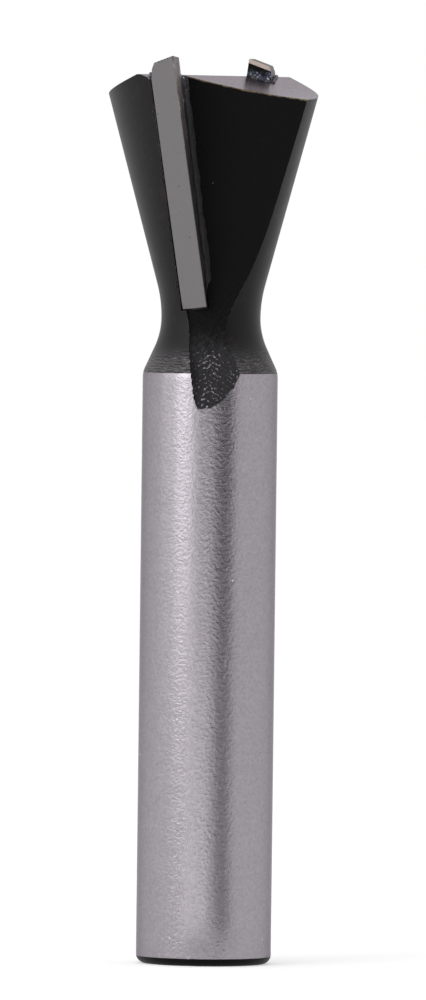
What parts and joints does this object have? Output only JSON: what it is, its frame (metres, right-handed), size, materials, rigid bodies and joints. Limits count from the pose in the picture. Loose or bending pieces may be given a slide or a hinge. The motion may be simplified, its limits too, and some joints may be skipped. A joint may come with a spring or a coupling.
{
  "type": "router bit",
  "caption": "Dovetail router bit: round shank, waisted neck, conical head with opposed flutes and brazed carbide tips.",
  "frame": {"origin": "centre of the shank's flat end face, on the tool's axis", "axes": "+Z along the tool's axis towards the cutting end; the front tip's outer face looks along -Y and it cuts towards +X"},
  "size_m": [0.0124, 0.0134, 0.0536],
  "materials": {
    "tool_steel": "black oxide on the head, neck and end chamfer, satin ground shank",
    "cemented_carbide": "satin ground, mid grey",
    "braze_metal": "dull, darkened filler metal"
  },
  "bodies": {
    "root": {"body": "tool_steel", "carbide_tip_front": "cemented_carbide", "carbide_tip_rear": "cemented_carbide", "braze_front": "braze_metal", "braze_rear": "braze_metal"}
  },
  "joints": []
}
